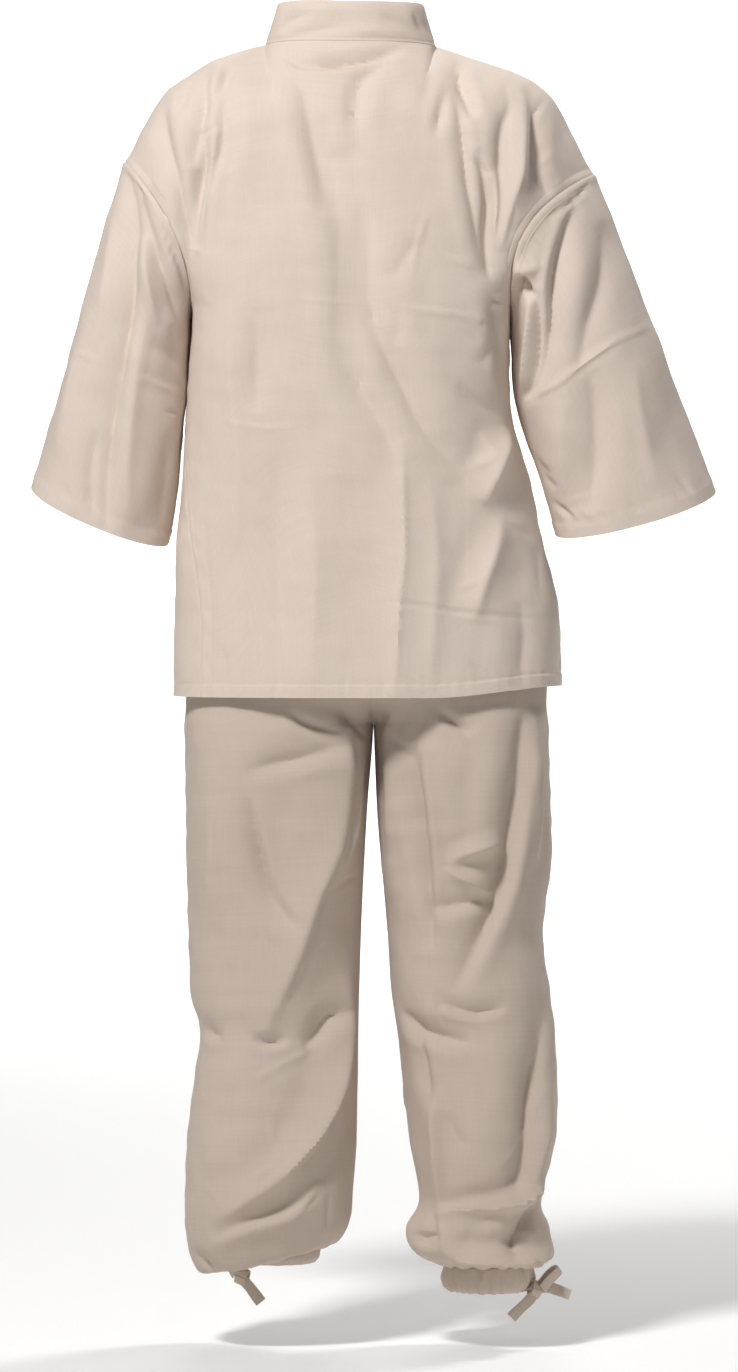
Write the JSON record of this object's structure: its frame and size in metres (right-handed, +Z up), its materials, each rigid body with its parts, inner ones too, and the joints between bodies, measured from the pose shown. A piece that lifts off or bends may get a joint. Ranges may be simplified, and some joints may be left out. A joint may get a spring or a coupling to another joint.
{
  "type": "samue",
  "caption": "Plain cotton samue: a wrapped short-sleeved jacket tied at the side, over loose drawstring trousers gathered at the ankles, standing in its worn form and hollow inside.",
  "frame": {"origin": "middle of the neck seam, where the collar meets the back, on the line through both neck sides", "axes": "+Z up, the front of the garment faces -Y, +X towards the wearer's left"},
  "size_m": [0.779, 0.2615, 1.4952],
  "materials": {
    "jacket_cotton": "plain woven ecru cotton, matt with a faint sheen, warm beige",
    "trouser_cotton": "the same plain woven cotton, softly creased",
    "tie_cotton": "narrow folded bands of the same cotton, stitched flat"
  },
  "bodies": {
    "root": {"jacket_back": "jacket_cotton", "jacket_front_left": "jacket_cotton", "jacket_front_right": "jacket_cotton", "jacket_collar": "jacket_cotton", "sleeve_left": "jacket_cotton", "sleeve_right": "jacket_cotton", "outer_tie_left": "tie_cotton", "outer_tie_right": "tie_cotton", "trouser_back_left": "trouser_cotton", "trouser_back_right": "trouser_cotton", "trouser_front_left": "trouser_cotton", "trouser_front_right": "trouser_cotton", "waistband": "trouser_cotton", "ankle_cuff_left": "trouser_cotton", "ankle_cuff_right": "trouser_cotton", "ankle_tie_left": "tie_cotton", "ankle_tie_right": "tie_cotton"}
  },
  "joints": []
}
